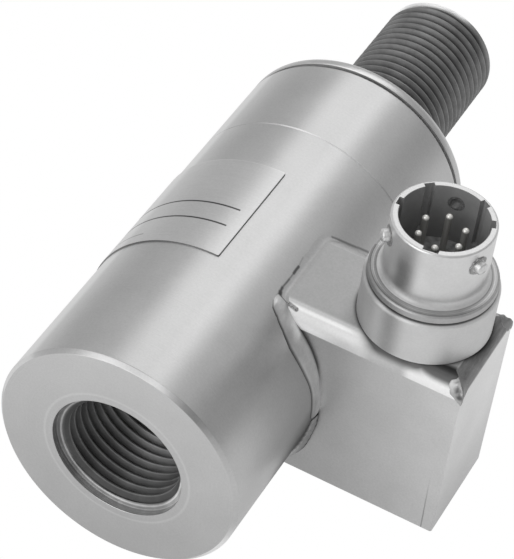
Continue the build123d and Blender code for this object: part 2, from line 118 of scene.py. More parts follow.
def joinParts(parts):
    verts, faces = [], []
    for partVerts, partFaces in parts:
        shift = len(verts)
        verts.extend(partVerts)
        faces.extend(tuple(i + shift for i in face) for face in partFaces)
    return verts, faces


def addObject(name, data):
    obj = bpy.data.objects.new(name, data)
    bpy.context.scene.collection.objects.link(obj)
    return obj


def addPiece(name, mesh, replaced):
    mesh.shade_smooth()
    obj = addObject(name, mesh)
    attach(obj, "root")
    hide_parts(replaced)
    return obj


def makePiece(name, part, replaced, sharp=32):
    mesh = bpy.data.meshes.new(name)
    mesh.from_pydata(part[0], [], part[1])
    bm = bmesh.new()
    bm.from_mesh(mesh)
    bmesh.ops.remove_doubles(bm, verts=bm.verts, dist=mergeDistance)
    bmesh.ops.dissolve_degenerate(bm, edges=bm.edges, dist=mergeDistance)
    bmesh.ops.recalc_face_normals(bm, faces=bm.faces)
    bm.to_mesh(mesh)
    bm.free()
    obj = addPiece(name, mesh, replaced)
    mesh.set_sharp_from_angle(angle=math.radians(sharp))
    return obj


# spring element: the turned piece with its two threads

element = {
    "segments": 144,
    "bodyRadius": 19.05, "faceChamfer": 0.6, "edgeRounding": 0.12, "headEnd": 21.0,
    "spigotRadius": 16.47, "spigotEnd": 25.0, "barrelRadius": 14.0, "barrelStep": 1.0,
    "columnStart": 34.0, "columnEnd": 58.0, "columnHalf": 6.0, "columnCorner": 1.5, "rootRadius": 2.0,
    "bossRadius": 13.0, "seatStart": 71.6, "seatRadius": 11.5, "seatEnd": 74.0,
    "undercutRadius": 8.3, "undercutRounding": 0.4, "undercutRise": 0.26, "undercutEnd": 75.8,
    "studTip": 105.9, "tipChamfer": 1.1, "leadIn": 1.9, "studRunIn": 1.2,
    "recessRadius": 10.3, "recessRounding": 0.15, "recessDepth": 1.2, "mouthRadius": 9.6,
    "drillRadius": 8.73, "boreEnd": 27.2, "drillTip": 32.45, "boreRunOut": 2.5,
    "pitch": 1.5875, "majorRadius": 9.525, "studRoot": 8.56, "boreRoot": 9.52, "boreCrest": 8.70,
    # share of one pitch, and share of the thread's height there
    "threadShape": (
        (0.00, 1.0), (0.06, 1.0), (0.11, 0.90), (0.36, 0.14),
        (0.43, 0.02), (0.57, 0.02), (0.64, 0.14), (0.89, 0.90), (0.94, 1.0),
    ),
}


def roundedSquare(half, corner):
    def radius(angle):
        a = abs((angle + math.pi / 4) % (math.pi / 2) - math.pi / 4)
        flat = half / math.cos(a)
        if flat * math.sin(a) <= half - corner:
            return flat
        c = (half - corner) * math.sqrt(2)
        b = math.pi / 4 - a
        return c * math.cos(b) + math.sqrt(max(0.0, corner ** 2 - (c * math.sin(b)) ** 2))
    return radius


def threadRows(start, end, radiusAt):
    # rows that follow the helix, held to the two end planes, so that their ends close to plain circles
    s = element
    count, perTurn = s["segments"], len(s["threadShape"])
    turns = math.ceil((end - start) / s["pitch"]) + 2
    verts, faces = [], []
    for turn in range(-1, turns):
        for share, height in s["threadShape"]:
            for i in range(count):
                along = start + (turn + share + i / count - 1) * s["pitch"]
                held = min(end, max(start, along))
                verts.append(bodyPoint(radiusAt(height, held), held, 2 * math.pi * i / count))
    rowCount = (turns + 1) * perTurn
    for row in range(rowCount - 1):
        for i in range(count):
            # the last column joins the first one a turn further on
            nextRow, j = (row, i + 1) if i < count - 1 else (row + perTurn, 0)
            if nextRow + 1 < rowCount:
                a, b = row * count + i, nextRow * count + j
                faces.append((a, b, b + count, a + count))
    return verts, faces


def buildElement():
    s = element
    square = roundedSquare(s["columnHalf"], s["columnCorner"])

    def boreRadius(height, along):
        fade = smoothStep(s["boreEnd"] - along, 0.0, s["boreRunOut"])
        thread = s["boreRoot"] + (s["boreCrest"] - s["boreRoot"]) * height
        thread = s["drillRadius"] + (thread - s["drillRadius"]) * fade
        return max(thread, s["mouthRadius"] - (along - s["recessDepth"]))

    def studRadius(height, along):
        fade = smoothStep(along - s["undercutEnd"], 0.0, s["studRunIn"])
        filled = smoothStep(along, s["studTip"] - s["leadIn"], s["studTip"] - s["leadIn"] * 0.6)
        thread = s["studRoot"] + (s["majorRadius"] - s["studRoot"]) * (height + (1 - height) * filled) * fade
        return min(thread, s["majorRadius"] - s["tipChamfer"] + s["studTip"] - along)

    def rootRing(share):
        # part of the quarter arc that spreads the column into its shoulder, and its height there
        spread = s["rootRadius"] * (1 - math.cos(share * math.pi / 2))
        return lambda angle: square(angle) + spread, s["rootRadius"] * (1 - math.sin(share * math.pi / 2))

    edge = s["edgeRounding"]
    face = roundedLine([
        (s["mouthRadius"], s["recessDepth"], 0),
        (s["recessRadius"], s["recessDepth"], s["recessRounding"]),
        (s["recessRadius"], 0, edge),
        (s["bodyRadius"] - s["faceChamfer"], 0, edge),
        (s["bodyRadius"], s["faceChamfer"], edge),
        (s["bodyRadius"], s["headEnd"], 0),
        (s["spigotRadius"], s["headEnd"], 0),
        (s["spigotRadius"], s["spigotEnd"], 0),
        (s["barrelRadius"], s["spigotEnd"], 0),
        (s["barrelRadius"], s["columnStart"], 0),
        (s["barrelRadius"] - s["barrelStep"], s["columnStart"], 0),
    ])
    roots = [rootRing(1 - k / 5) for k in range(6)]
    column = [(ring, s["columnStart"] + rise) for ring, rise in roots]
    column += [(ring, s["columnEnd"] - rise) for ring, rise in reversed(roots)]
    seat = roundedLine([
        (s["bossRadius"], s["columnEnd"], 0),
        (s["bossRadius"], s["seatStart"], 0),
        (s["seatRadius"], s["seatStart"], 0),
        (s["seatRadius"], s["seatEnd"], 0),
        (s["undercutRadius"], s["seatEnd"], s["undercutRounding"]),
        (s["undercutRadius"], s["undercutEnd"] - s["undercutRise"], 0),
        (s["studRoot"], s["undercutEnd"], 0),
    ])
    drillPoint = [(0.0, s["drillTip"]), (s["drillRadius"], s["boreEnd"])]
    tip = [(s["majorRadius"] - s["tipChamfer"], s["studTip"]), (0.0, s["studTip"])]
    part = joinParts((
        skinRows(ringRows(drillPoint, s["segments"])),
        threadRows(s["recessDepth"], s["boreEnd"], boreRadius),
        skinRows(ringRows(face + column + seat, s["segments"])),
        threadRows(s["undercutEnd"], s["studTip"], studRadius),
        skinRows(ringRows(tip, s["segments"])),
    ))
    return makePiece("turned_element", part, "spring_element")


springElement = buildElement()
print("turned element built:", len(springElement.data.polygons), "faces")


# weld beads along the saddle between the housing's side walls and the body

housing = {"front": 24.7, "back": 41.7, "top": 15.85, "reach": 39.4, "bend": 2.6, "bottom": -15.35}

bead = {
    "sink": 0.25, "stepsAcross": 14, "rowLength": 0.11, "ripplePitch": 1.1,
    "shadowWidth": 0.20, "bodySideShade": 0.35, "topFall": 1.0,
    "mainLow": -4.6, "tailHigh": -6.0, "tailLow": -53.0,
    # main run: (share, leg on the wall, leg on the body, bulge, ripple height)
    "mainLegs": (
        (0.00, 0.20, 1.9, 0.12, 0.10),
        (0.05, 0.18, 2.6, 0.26, 0.05),
        (0.28, 0.12, 2.8, 0.34, 0.03),
        (0.45, 0.28, 3.3, 0.36, 0.03),
        (0.70, 0.40, 3.5, 0.34, 0.03),
        (0.82, 0.20, 3.0, 0.26, 0.03),
        (0.92, 0.10, 3.1, 0.22, 0.03),
        (0.97, 0.10, 2.5, 0.14, 0.03),
        (1.00, 0.10, 1.3, 0.03, 0.02),
    ),
    # shares over which the painted shadow along the wall's toe comes and goes
    "mainShadow": (0.25, 0.45, 0.72, 0.80),
    # tail below it: a lumpy line that spreads over the wall
    "tailLegs": (
        (0.00, 2.2, 1.8, 0.06, 0.22),
        (0.30, 2.0, 2.4, 0.08, 0.28),
        (0.60, 1.3, 3.2, 0.12, 0.32),
        (0.85, 0.7, 3.2, 0.14, 0.30),
        (1.00, 0.3, 2.2, 0.10, 0.20),
    ),
    "tailShadow": (-1.0, 0.0, 1.0, 2.0),
}


def wallFall(height):
    # how far the housing's wall has turned inwards at this height, where the top bends over
    rise = min(housing["bend"], max(0.0, height - (housing["top"] - housing["bend"])))
    return housing["bend"] - math.sqrt(housing["bend"] ** 2 - rise ** 2)


def beadRun(lowAngle, highAngle, legs, wallShadow, travelStart, wallAlong, outward, bodyShare):
    # rows across the bead from its toe on the wall to its toe on the body, closed underneath
    s = bead
    bodyRadius = element["bodyRadius"]
    length = math.radians(highAngle - lowAngle) * bodyRadius
    steps = round(length / s["rowLength"])
    rows, shades = [], []
    for k in range(steps + 1):
        share = k / steps
        angle = math.radians(lowAngle + (highAngle - lowAngle) * share)
        wall = wallAlong - outward * min(s["topFall"], wallFall(bodyRadius * math.sin(angle)))
        wallLeg, bodyLeg, bulge, ripple = blendRows(legs, share)
        travel = share * length / s["ripplePitch"] + travelStart
        beat = abs(math.sin(travel * math.pi)) ** 0.6
        drift = math.sin(travel * 0.83 + outward) + 0.6 * math.sin(travel * 0.31 + 2)
        wallLeg *= 1 + 0.08 * drift
        bodyLeg *= bodyShare * (1 + 0.05 * math.sin(travel * 0.57 + 1))
        onWall = smoothStep(share, *wallShadow[:2]) * (1 - smoothStep(share, *wallShadow[2:]))
        start = Vector((bodyRadius + wallLeg, 0))
        end = Vector((bodyRadius, bodyLeg))
        across = (end - start).normalized()
        out = Vector((abs(across.y), abs(across.x)))
        row = []
        for j in range(s["stepsAcross"] + 1):
            t = j / s["stepsAcross"]
            p = start.lerp(end, t) + out * 4 * t * (1 - t) * (bulge + ripple * (beat - 0.5))
            row.append(bodyPoint(p.x, wall + outward * p.y, angle))
            # painted shadow along both toes, wider low down, on the wall side only where the wall's shadow
            # falls, and painted shade over the body side of the bead
            edge = 1 - smoothStep(min(t, 1 - t), 0.02, s["shadowWidth"] * (2 if angle < -0.1 else 1))
            edge *= onWall if t < 0.5 else 1.0
            shades.append(max(edge, s["bodySideShade"] * smoothStep(t, 0.35, 0.9)))
        row.append(bodyPoint(bodyRadius - s["sink"], wall + outward * bodyLeg * 0.8, angle))
        row.append(bodyPoint(bodyRadius - s["sink"], wall - outward * s["sink"], angle))
        row.append(bodyPoint(bodyRadius + wallLeg * 0.8, wall - outward * s["sink"], angle))
        shades.extend([1.0, 1.0, 1.0])
        rows.append(row)
    return skinRows(rows, capped=True), shades


def markToes(obj, places, shades):
    # each vertex takes the shade of the nearest point that was laid out
    tree = KDTree(len(places))
    for i, place in enumerate(places):
        tree.insert(place, i)
    tree.balance()
    attribute = obj.data.attributes.new("toe", "FLOAT", "POINT")
    for v in obj.data.vertices:
        attribute.data[v.index].value = shades[tree.find(v.co)[1]]


def buildSideBead(name, wallAlong, outward, highAngle, bodyShare, replaced):
    s = bead
    where = (wallAlong, outward, bodyShare)
    main, mainShades = beadRun(s["mainLow"], highAngle, s["mainLegs"], s["mainShadow"], 0.0, *where)
    tail, tailShades = beadRun(s["tailLow"], s["tailHigh"], s["tailLegs"], s["tailShadow"], 3.7, *where)
    part = joinParts((main, tail))
    obj = makePiece(name, part, replaced, sharp=60)
    markToes(obj, part[0], mainShades + tailShades)
    return obj


weldFront = buildSideBead("bead_front", 24.68, -1, 59.0, 1.0, "weld_front")
weldBack = buildSideBead("bead_back", 41.72, 1, 42.0, 0.5, "weld_back")
print("beads built")


# weld nuggets at the two top corners of the folded sheet

nuggets = {
    "seatRadius": 1.33, "inset": 1.15, "drop": 1.7614, "subdivisions": 6,
    # how far each way from the corner it spreads, then the height of its middle, its edge and its lumps
    "spread": (2.5, 2.2, 3.3), "height": 0.15, "edge": 0.008, "lump": 0.36, "lumpScale": 1.25,
    # its outline wanders by this share, in waves of this scale
    "wander": 0.22, "wanderScale": 0.9,
}


def insideCorner(point):
    # whether a point lies in the box with rounded top edges, before its corners were cut for the weld
    sides = (housing["reach"] - point.x, point.y - housing["front"], housing["back"] - point.y)
    return point.z <= housing["top"] and min(sides) >= wallFall(point.z)


def buildNuggets():
    # each fills its round seat and runs out thinly and unevenly over the corner of the sheet
    s = nuggets
    bm = bmesh.new()
    for wall, outward in ((housing["front"], -1), (housing["back"], 1)):
        centre = Vector((
            housing["reach"] - s["inset"],
            wall - outward * s["inset"],
            housing["top"] - s["drop"],
        ))
        corner = Vector((housing["reach"], wall, housing["top"]))
        ball = bmesh.ops.create_icosphere(bm, subdivisions=s["subdivisions"], radius=1.0)
        for v in ball["verts"]:
            ray = v.co.normalized()
            low, high = 0.2, 6.0
            for halving in range(16):
                middle = (low + high) / 2
                if insideCorner(centre + ray * middle):
                    low = middle
                else:
                    high = middle
            skin = centre + ray * low
            share = math.sqrt(sum(((corner - skin)[i] / s["spread"][i]) ** 2 for i in range(3)))
            share += noise.noise(skin * s["wanderScale"] + Vector((3, 1, 7))) * s["wander"]
            fade = 1 - smoothStep(share, 0.3, 1.0)
            lump = noise.noise(skin * s["lumpScale"]) * s["lump"]
            rise = max(0.0, fade * (s["height"] + lump)) + s["edge"]
            reach = low + rise if fade > 0 else min(low - 0.02, s["seatRadius"] - 0.01)
            v.co = (centre + ray * reach) * mm
    mesh = bpy.data.meshes.new("corner_nuggets")
    bm.to_mesh(mesh)
    bm.free()
    return addPiece("corner_nuggets", mesh, "corner_welds")


cornerNuggets = buildNuggets()


# ground weld where the housing's top runs up the body

topWeld = {
    "start": 25.9, "end": 41.2, "stepsAlong": 60, "stepsAcross": 8, "legOnTop": 0.55,
    "proudOfBody": 0.01, "proudOfSheet": 0.015, "sinkOnTop": 0.3, "sinkInBody": 0.5,
    # radii between which its finish changes from the body's, a little lighter, to the sheet's
    "blend": (19.07, 19.22), "bodyLift": 0.06,
    # (distance along, angle of its upper edge on the body), and the wander of that edge in degrees
    "upperEdge": ((25.5, 57.3), (29.6, 59.1), (34.0, 60.0), (39.0, 60.3), (40.2, 58.8), (41.3, 53.5)),
    "wander": 0.25,
}


def buildTopWeld():
    # hollow fillet that runs out smoothly on the body and on the sheet
    s = topWeld
    rows = []
    for k in range(s["stepsAlong"] + 1):
        along = s["start"] + (s["end"] - s["start"]) * k / s["stepsAlong"]
        bend = housing["bend"]
        ends = max(housing["front"] + bend - along, along - housing["back"] + bend, 0)
        top = housing["top"] - bend + math.sqrt(bend ** 2 - ends ** 2)
        corner = Vector((math.sqrt(element["bodyRadius"] ** 2 - top ** 2), top))
        angle = math.radians(blendRows(s["upperEdge"], along)[0] + s["wander"] * math.sin(along * 1.9))
        upper = Vector((math.cos(angle), math.sin(angle))) * (element["bodyRadius"] + s["proudOfBody"])
        lower = Vector((corner.x + s["legOnTop"], top + s["proudOfSheet"]))
        row = []
        for j in range(s["stepsAcross"] + 1):
            t = j / s["stepsAcross"]
            row.append(upper * (1 - t) ** 2 + corner * 2 * t * (1 - t) + lower * t * t)
        row.append(Vector((lower.x - s["sinkOnTop"], top - s["sinkOnTop"])))
        row.append(upper - Vector((s["sinkOnTop"], s["sinkInBody"])))
        rows.append([(p.x * mm, along * mm, p.y * mm) for p in row])
    return makePiece("ground_weld_top", skinRows(rows, capped=True), "weld_top", sharp=60)


weldTop = buildTopWeld()


# bayonet pins: a rounded pin in a staked, lumpy ring

bayonet = {
    "axis": (28.7, 34.4), "height": 31.7, "angles": (-23.0, 97.0, 217.0),
    "barrelRadius": 7.375, "innerRadius": 6.36, "stand": 1.05, "radius": 0.95, "tipRounding": 0.35,
    "rootRadius": 1.2, "ringRadius": 1.46, "ringHeight": 0.14, "dimpleRadius": 0.85,
    "teeth": 9, "segments": 72,
}
pinMiddle = Vector((*bayonet["axis"], bayonet["height"]))
upward = Vector((0, 0, 1))


def towardPin(turn):
    return Vector((math.cos(math.radians(turn)), math.sin(math.radians(turn)), 0))


def buildPins():
    s = bayonet
    skin = s["barrelRadius"]
    tip = skin + s["stand"]
    parts = []
    for number, turn in enumerate(s["angles"]):
        out = towardPin(turn)
        side = out.cross(upward)

        def place(r, along, angle):
            # rows on the barrel follow its curve
            w = r * math.sin(angle)
            sag = skin - math.sqrt(skin ** 2 - w ** 2) if skin - 0.2 < along < skin + 0.3 else 0.0
            return tuple((pinMiddle + out * (along - sag) + side * w + upward * r * math.cos(angle)) * mm)

        def toothed(share, depth):
            def radius(angle):
                lumps = math.sin(s["teeth"] * angle + number) + 0.6 * math.sin(4 * angle + 2 * number)
                return s["ringRadius"] * share * (1 + depth * lumps)
            return radius

        line = [
            (0.0, s["innerRadius"] + 0.5),
            (s["dimpleRadius"] * 0.7, s["innerRadius"] + 0.35),
            (s["dimpleRadius"], s["innerRadius"]),
            (s["rootRadius"], s["innerRadius"]),
            (s["rootRadius"], skin - 0.25),
            (toothed(1.0, 0.06), skin - 0.1),
            (toothed(0.97, 0.06), skin + s["ringHeight"] * 0.8),
            (toothed(0.86, 0.05), skin + s["ringHeight"]),
            (s["radius"] * 1.12, skin + s["ringHeight"] * 0.5),
        ]
        line += roundedLine([
            (s["radius"], skin + 0.1, 0),
            (s["radius"] * 0.96, tip, s["tipRounding"]),
            (0.0, tip + 0.02, 0),
        ], 6)
        parts.append(skinRows(ringRows(line, s["segments"], place)))
    return makePiece("staked_pins", joinParts(parts), "bayonet_pins", sharp=40)


stakedPins = buildPins()
print("small pieces built")


# helpers for shader nodes

def plug(value, socket):
    # an output is linked to the socket, and a number or vector is set on it
    if isinstance(value, Value):
        value.tree.links.new(value.socket, socket)
    else:
        socket.default_value = value


def addNode(tree, kind, **settings):
    # a setting is a socket's name or a property of the node
    node = tree.nodes.new(kind)
    for key, value in settings.items():
        if key in node.inputs:
            plug(value, node.inputs[key])
        else:
            setattr(node, key, value)
    return node


def operator(operation, swapped=False):
    return lambda self, other: self.math(operation, other, swapped)


class Value:
    # the output of a node, so that shades can be written as sums and products
    def __init__(self, socket):
        self.socket = socket
        self.tree = socket.id_data

    def math(self, operation, other=0.0, swapped=False):
        node = addNode(self.tree, "ShaderNodeMath", operation=operation)
        plug(self, node.inputs[1 if swapped else 0])
        plug(other, node.inputs[0 if swapped else 1])
        return Value(node.outputs[0])

    __add__ = operator("ADD")
    __sub__ = operator("SUBTRACT")
    __rsub__ = operator("SUBTRACT", swapped=True)
    __mul__ = operator("MULTIPLY")
    __truediv__ = operator("DIVIDE")
    __mod__ = operator("FLOORED_MODULO")

    def __neg__(self):
        return self * -1.0

    def held(self):
        return self.math("MAXIMUM", 0.0).math("MINIMUM", 1.0)

    def ramp(self, low, high, toLow=0.0, toHigh=1.0, smooth=True):
        node = addNode(self.tree, "ShaderNodeMapRange")
        node.interpolation_type = "SMOOTHSTEP" if smooth else "LINEAR"
        for socket, value in zip(node.inputs, (self, low, high, toLow, toHigh)):
            plug(value, socket)
        return Value(node.outputs[0])

    def fall(self, low, high):
        return self.ramp(low, high, 1.0, 0.0)

    def window(self, start, full, fading, end):
        return self.ramp(start, full) * self.fall(fading, end)

    def between(self, low, high, soft=0.05):
        return self.window(low - soft, low + soft, high - soft, high + soft)


def blend(tone, mask, other):
    return tone * (1 - mask) + mask * other


def strongest(masks):
    result = masks[0]
    for mask in masks[1:]:
        result = result.math("MAXIMUM", mask)
    return result


def tinted(tone, color):
    mixed = addNode(tone.tree, "ShaderNodeCombineColor")
    for channel, share in zip(("Red", "Green", "Blue"), color):
        plug(tone * share, mixed.inputs[channel])
    return Value(mixed.outputs[0])


def splitVector(vector):
    parts = addNode(vector.tree, "ShaderNodeSeparateXYZ", Vector=vector)
    return [Value(socket) for socket in parts.outputs]


def vectorMath(operation, a, b):
    node = addNode(a.tree, "ShaderNodeVectorMath", operation=operation)
    plug(a, node.inputs[0])
    plug(b, node.inputs["Scale" if operation == "SCALE" else 1])
    return Value(node.outputs["Value" if operation in ("DOT_PRODUCT", "DISTANCE") else "Vector"])


def noiseAt(point, scale, detail=3.0, rough=0.55, stretch=None):
    # noise about nought; stretch multiplies the point along each axis first
    if stretch:
        point = vectorMath("MULTIPLY", point, stretch)
    pattern = addNode(
        point.tree, "ShaderNodeTexNoise",
        Vector=point, Scale=scale, Detail=detail, Roughness=rough,
    )
    return Value(pattern.outputs["Fac"]) - 0.5


def camel(label):
    words = label.replace(" ", "")
    return words[0].lower() + words[1:]


def outputsOf(node):
    return SimpleNamespace(**{camel(socket.name): Value(socket) for socket in node.outputs if socket.name})


def newGroup(name, inputs, outputs):
    # inputs are labels with their default, outputs are labels with Float or Vector
    group = bpy.data.node_groups.new(name, "ShaderNodeTree")
    for label, default in inputs.items():
        kind = "NodeSocketVector" if isinstance(default, tuple) else "NodeSocketFloat"
        group.interface.new_socket(label, in_out="INPUT", socket_type=kind).default_value = default
    for label, kind in outputs.items():
        group.interface.new_socket(label, in_out="OUTPUT", socket_type="NodeSocket" + kind)
    given = group.nodes.new("NodeGroupInput")
    return group, outputsOf(given), group.nodes.new("NodeGroupOutput").inputs


def useGroup(tree, group, **values):
    node = addNode(tree, "ShaderNodeGroup", node_tree=group)
    for socket in node.inputs:
        if camel(socket.name) in values:
            plug(values[camel(socket.name)], socket)
    return outputsOf(node)


# shader groups

def positionGroup():
    # place in millimetres, then the radius and turn about the load axis and about the connector's axis
    labels = ("Across", "Along", "Upright", "Radius", "Turn", "Ring Radius", "Ring Turn",
              "Facing X", "Facing Y", "Facing Z")
    group, _, results = newGroup("Positions", {}, {"Point": "Vector", **dict.fromkeys(labels, "Float")})
    coordinates = outputsOf(addNode(group, "ShaderNodeTexCoord"))
    point = vectorMath("SCALE", coordinates.object, 1000.0)
    x, y, z = splitVector(point)
    fromX, fromY = x - bayonet["axis"][0], y - bayonet["axis"][1]
    values = [x, y, z]
    for a, b in ((x, z), (fromX, fromY)):
        values.append((a * a + b * b).math("SQRT"))
        values.append(b.math("ARCTAN2", a) * (180 / math.pi))
    values += splitVector(coordinates.normal)
    for socket, value in zip(results, [point] + values):
        plug(value, socket)
    return group


def turningGroup():
    # fine lines at right angles to an axis, as a cutting tool leaves them; fineness is lines per mm
    group, given, results = newGroup(
        "Turning Lines",
        {"Along": 0.0, "Fineness": 6.0, "Depth": 0.2},
        {"Shade": "Float", "Normal": "Vector"},
    )
    cuts = addNode(group, "ShaderNodeTexNoise", noise_dimensions="1D", Scale=1.0, Detail=3.0, Roughness=0.7)
    plug(given.along * given.fineness, cuts.inputs["W"])
    height = Value(cuts.outputs["Fac"])
    bump = addNode(group, "ShaderNodeBump", Distance=0.0001, Strength=given.depth, Height=height)
    plug(height - 0.5, results["Shade"])
    plug(Value(bump.outputs["Normal"]), results["Normal"])
    return group


def handlingGroup():
    # soft cloudy marks and fine specks
    group, given, results = newGroup(
        "Handling Marks",
        {"Point": (0, 0, 0), "Size": 0.12},
        {"Shade": "Float", "Specks": "Float"},
    )
    plug(noiseAt(given.point, given.size, 4.0), results["Shade"])
    plug(noiseAt(given.point, 3.0, 2.0, 0.6), results["Specks"])
    return group


def scribedLineGroup():
    # mask of a straight mark between two points, with a wandering edge
    group, given, results = newGroup(
        "Scribed Line",
        {
            "Point": (0, 0, 0), "Start": (0, 0, 0), "End": (1, 0, 0),
            "Width": 0.1, "Softness": 0.1, "Wander": 0.0,
        },
        {"Mask": "Float", "Share": "Float"},
    )
    drift = addNode(group, "ShaderNodeTexNoise", Vector=given.point, Scale=0.9, Detail=2.0)
    drift = vectorMath("SUBTRACT", Value(drift.outputs["Color"]), (0.5, 0.5, 0.5))
    point = vectorMath("ADD", given.point, vectorMath("SCALE", drift, given.wander))
    reach = vectorMath("SUBTRACT", given.end, given.start)
    here = vectorMath("SUBTRACT", point, given.start)
    share = (vectorMath("DOT_PRODUCT", here, reach) / vectorMath("DOT_PRODUCT", reach, reach)).held()
    gap = vectorMath("DISTANCE", here, vectorMath("SCALE", reach, share)) - given.width
    plug(1 - (gap / given.softness).held(), results["Mask"])
    plug(share, results["Share"])
    return group


positions = positionGroup()
turning = turningGroup()
handling = handlingGroup()
scribedLine = scribedLineGroup()


# materials

def newMaterial(name):
    material = bpy.data.materials.new(name)
    material.use_nodes = True
    return material, material.node_tree.nodes["Principled BSDF"]


def startMaterial(name):
    material, surface = newMaterial(name)
    return material, surface, useGroup(material.node_tree, positions)


def drawLine(place, start, end, width, softness, wander):
    return useGroup(place.point.tree, scribedLine, point=place.point, start=tuple(start), end=tuple(end),
                    width=width, softness=softness, wander=wander)


def drawSpot(place, centre, radius, softness, wander):
    return drawLine(place, centre, [c + 0.01 for c in centre], radius, softness, wander).mask


def addReflectionBands(tone, turn, streaks, mask):
    # painted reflection bands, each (first angle, last angle, softness, change of tone)
    for first, last, soft, change in streaks:
        tone += turn.between(first, last, soft) * mask * change
    return tone


def marksShade(place, spec):
    marks = useGroup(place.point.tree, handling, point=place.point, size=spec["markSize"])
    return marks.shade * spec["cloud"] + marks.specks * spec["speck"]


def turnedShade(surface, along, spec):
    lines = useGroup(along.tree, turning, along=along, fineness=spec["lines"], depth=spec["depth"])
    plug(lines.normal, surface.inputs["Normal"])
    return lines.shade * spec["lineShade"]


def finishSteel(surface, tone, rough, metallic=1.0, tint=(1.0, 1.0, 1.0)):
    plug(tinted(tone, tint), surface.inputs["Base Color"])
    plug(rough.math("MAXIMUM", 0.08), surface.inputs["Roughness"])
    plug(metallic, surface.inputs["Metallic"])


body = {
    "tone": 0.53, "rough": 0.36, "lines": 5.0, "depth": 0.12, "lineShade": 0.045,
    "cloud": 0.10, "speck": 0.11, "markSize": 0.12,
    # tones from root to crest, with painted shade in the roots and painted highlight on the crests, and
    # round the recess, painted dark as shade, from its bright side to its dark one
    "studTone": (0.07, 0.23), "boreTone": (0.19, 0.085), "recessTone": (0.27, 0.46),
    "metallicLoss": {"threads": 0.55, "recess": 0.6, "tip": 0.85, "bore": 0.75},
    # (first angle, last angle, softness, change of tone) of painted reflection bands along the body and on
    # its chamfer
    "streaks": ((57, 76, 7, 0.12), (78, 92, 6, -0.06), (112, 132, 8, -0.05), (139, 172, 3, 0.15)),
    "chamferStains": ((50, 66, 8, -0.21), (80, 100, 8, -0.10), (-135, -75, 20, -0.38), (-42, -15, 12, 0.35)),
    "faceRing": (11.4, 11.75, 0.12), "faceRingTone": 0.06,
    # (low, high, tone at low, tone at high) of painted light and shade: up the female face in mm, darker
    # towards the bottom, and a painted glint round the stud's tip in degrees
    "faceRise": (-17, 17, -0.07, 0.05), "tipGlint": (58, 74, -0.36, 0.42),
    # heat tint and painted shade beside the lower weld, where the dark housing is reflected, and where it
    # comes and goes in mm along and in degrees round
    "heat": 0.80, "heatDrift": 9.0, "heatAlong": (7, 20, 42, 50), "heatTurn": (-40, -20, -12, 8),
    # where the stud, its bright tip, the bore and the recess come and go, in mm along
    "studSpan": (75.3, 75.6, 104.1, 104.6), "tipStart": (104.1, 104.7),
    "boreSpan": (1.35, 1.6, 40, 41), "recessSpan": (0.1, 0.2, 2.2, 2.5),
}

crevice = {
    "tone": 0.10, "wander": 0.16,
    # (place, then width, softness and strength from there to the next place)
    "besideTop": (
        ((10.32, 25.3, 16.00), 0.28, 0.30, 1.0),
        ((10.17, 25.7, 16.11), 0.18, 0.26, 0.97),
        ((9.90, 26.5, 16.27), 0.10, 0.24, 0.93),
        ((9.78, 27.3, 16.35), 0.04, 0.20, 0.8),
        ((9.83, 29.3, 16.32), 0.03, 0.16, 0.6),
        ((9.80, 30.6, 16.34), 0.11, 0.18, 0.9),
        ((9.77, 32.2, 16.35), 0.0, 0.16, 0.3),
        ((9.50, 34.0, 16.51), 0.0, 0.16, 0.0),
    ),
    # painted shadow on the body behind the rear bend
    "behindBend": (
        ((10.83, 40.8, 15.67), 0.08, 0.22, 0.65),
        ((13.06, 42.6, 13.87), 0.08, 0.22, 0.65),
        ((15.15, 45.0, 11.55), 0.08, 0.22, 0.0),
    ),
}


def darkenCrevice(place, tone):
    # ragged dark line where the housing's top meets the body, and a painted shadow on the body behind its
    # rear bend
    masks = []
    for run in (crevice["besideTop"], crevice["behindBend"]):
        for (start, width, softness, strength), (end, *rest) in zip(run, run[1:]):
            masks.append(drawLine(place, start, end, width, softness, crevice["wander"]).mask * strength)
    return blend(tone, strongest(masks), crevice["tone"])


